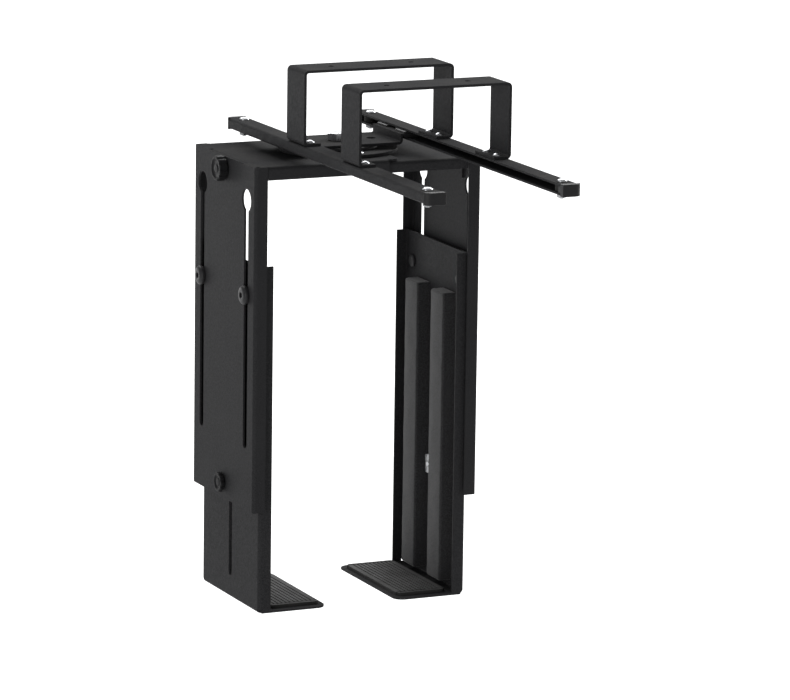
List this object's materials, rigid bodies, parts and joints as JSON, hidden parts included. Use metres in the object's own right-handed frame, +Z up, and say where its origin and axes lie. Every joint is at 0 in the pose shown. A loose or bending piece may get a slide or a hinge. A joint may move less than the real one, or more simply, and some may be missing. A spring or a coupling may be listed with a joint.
{
  "type": "cpu holder",
  "caption": "Under-desk computer holder: side brackets of adjustable height and width hang from a swivel carriage that slides along a rail track under the desk.",
  "frame": {"origin": "middle of the four desk screw holes, in the plane where the bridge brackets meet the underside of the desk", "axes": "+Z up, +X to the right, +Y to the back of the desk along the rails"},
  "size_m": [0.2466, 0.4542, 0.512],
  "materials": {
    "coated_steel": "fine-textured black powder coat",
    "nylon": "moulded black nylon",
    "cap_plastic": "moulded black plastic",
    "knob_plastic": "moulded black plastic with a fine grain",
    "black_hardware": "semi-gloss black steel",
    "zinc_hardware": "bright zinc plate",
    "rubber": "matt black rubber",
    "foam": "closed-cell black foam"
  },
  "bodies": {
    "track": {"left_rail": "coated_steel", "right_rail": "coated_steel", "front_bridge": "coated_steel", "rear_bridge": "coated_steel", "bridge_rivets": "zinc_hardware", "front_stop_bolts": "zinc_hardware", "rear_stop_bolts": "zinc_hardware", "front_stop_bumpers": "rubber", "rear_stop_bumpers": "rubber", "left_front_end_cap": "cap_plastic", "left_rear_end_cap": "cap_plastic", "right_front_end_cap": "cap_plastic", "right_rear_end_cap": "cap_plastic"},
    "carriage": {"carriage": "coated_steel", "left_front_glide": "nylon", "left_rear_glide": "nylon", "right_front_glide": "nylon", "right_rear_glide": "nylon", "bearing_race": "nylon", "pivot_bolt": "zinc_hardware", "pivot_washer": "zinc_hardware", "pivot_nut": "zinc_hardware"},
    "swivel": {"swivel_plate": "coated_steel", "pivot_bush": "nylon", "clamp_bolts": "zinc_hardware", "clamp_washers": "zinc_hardware", "clamp_nuts": "zinc_hardware"},
    "left_side": {"left_arm": "coated_steel", "left_channel": "coated_steel", "left_knob_nut": "zinc_hardware", "left_thumb_nut": "zinc_hardware", "left_thumb_spacer": "nylon"},
    "left_lower": {"left_lower_bracket": "coated_steel", "left_studs": "black_hardware", "left_stud_spacers": "nylon", "left_front_foam": "foam", "left_rear_foam": "foam", "left_foot_pad": "rubber"},
    "left_knob": {"left_knob": "knob_plastic"},
    "left_thumbscrew": {"left_thumbscrew": "knob_plastic"},
    "right_side": {"right_arm": "coated_steel", "right_channel": "coated_steel", "right_knob_nut": "zinc_hardware", "right_thumb_nut": "zinc_hardware", "right_thumb_spacer": "nylon"},
    "right_lower": {"right_lower_bracket": "coated_steel", "right_studs": "black_hardware", "right_stud_spacers": "nylon", "right_front_foam": "foam", "right_rear_foam": "foam", "right_foot_pad": "rubber"},
    "right_knob": {"right_knob": "knob_plastic"},
    "right_thumbscrew": {"right_thumbscrew": "knob_plastic"}
  },
  "joints": [
    {"name": "track_slide", "type": "slide", "parent": "track", "child": "carriage", "axis": [0, 1, 0], "range_m": [-0.304, 0.032]},
    {"name": "swivel_turn", "type": "hinge", "parent": "carriage", "child": "swivel", "pos_m": [0, 0.136, -0.0873], "axis": [0, 0, 1], "continuous": true},
    {"name": "left_width", "type": "slide", "parent": "swivel", "child": "left_side", "axis": [-1, 0, 0], "range_m": [-0.034, 0.016]},
    {"name": "left_height", "type": "slide", "parent": "left_side", "child": "left_lower", "axis": [0, 0, 1], "range_m": [-0.138, 0.07]},
    {"name": "left_knob_turn", "type": "hinge", "parent": "left_side", "child": "left_knob", "pos_m": [-0.12, 0.136, -0.1018], "axis": [-1, 0, 0], "range_deg": [0, 360]},
    {"name": "left_thumbscrew_turn", "type": "hinge", "parent": "left_side", "child": "left_thumbscrew", "pos_m": [-0.12, 0.136, -0.3996], "axis": [-1, 0, 0], "range_deg": [0, 360]},
    {"name": "right_width", "type": "slide", "parent": "swivel", "child": "right_side", "axis": [1, 0, 0], "range_m": [-0.034, 0.016]},
    {"name": "right_height", "type": "slide", "parent": "right_side", "child": "right_lower", "axis": [0, 0, 1], "range_m": [-0.138, 0.07]},
    {"name": "right_knob_turn", "type": "hinge", "parent": "right_side", "child": "right_knob", "pos_m": [0.12, 0.136, -0.1018], "axis": [1, 0, 0], "range_deg": [0, 360]},
    {"name": "right_thumbscrew_turn", "type": "hinge", "parent": "right_side", "child": "right_thumbscrew", "pos_m": [0.12, 0.136, -0.3996], "axis": [1, 0, 0], "range_deg": [0, 360]}
  ]
}
